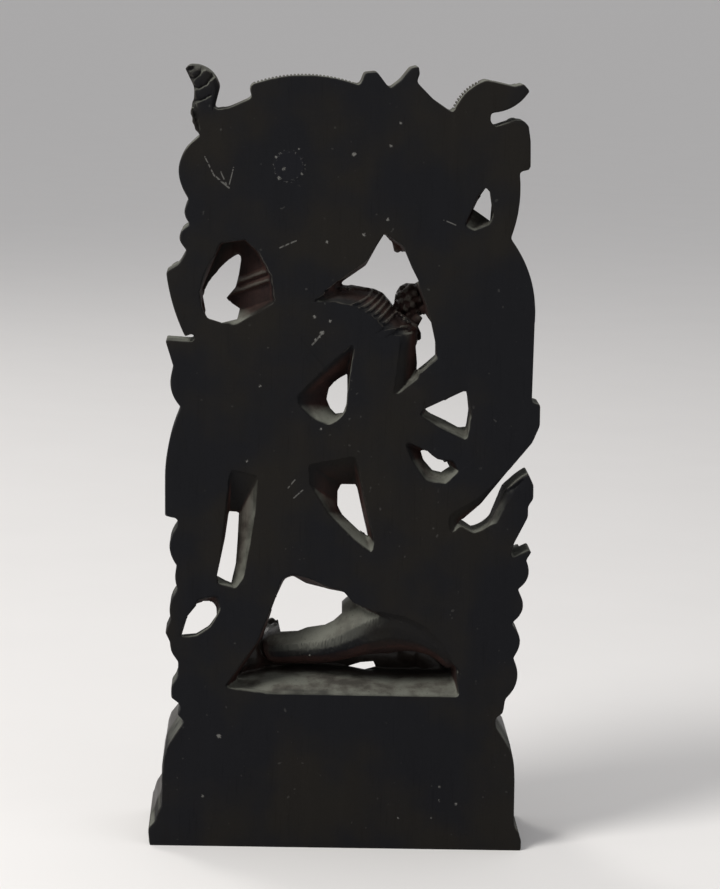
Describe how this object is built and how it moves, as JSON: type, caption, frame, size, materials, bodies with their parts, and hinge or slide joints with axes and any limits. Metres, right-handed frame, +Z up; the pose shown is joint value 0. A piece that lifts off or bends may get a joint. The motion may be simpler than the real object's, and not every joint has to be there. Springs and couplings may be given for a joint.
{
  "type": "openwork shiva figure carving",
  "caption": "Openwork wood carving of a striding four-armed figure under a leafy canopy, flat at the back, with a moulded plinth.",
  "frame": {"origin": "centre of the plinth's underside", "axes": "+Z up, the flat sawn back faces +Y and the carved front faces -Y"},
  "size_m": [0.1223, 0.045, 0.2516],
  "materials": {
    "ebonised_wood": "near-black stained wood, sawn matt on the flat back and hand-rubbed satin on the carving, with dusty pale edges"
  },
  "bodies": {
    "root": {"carving": "ebonised_wood"}
  },
  "joints": []
}
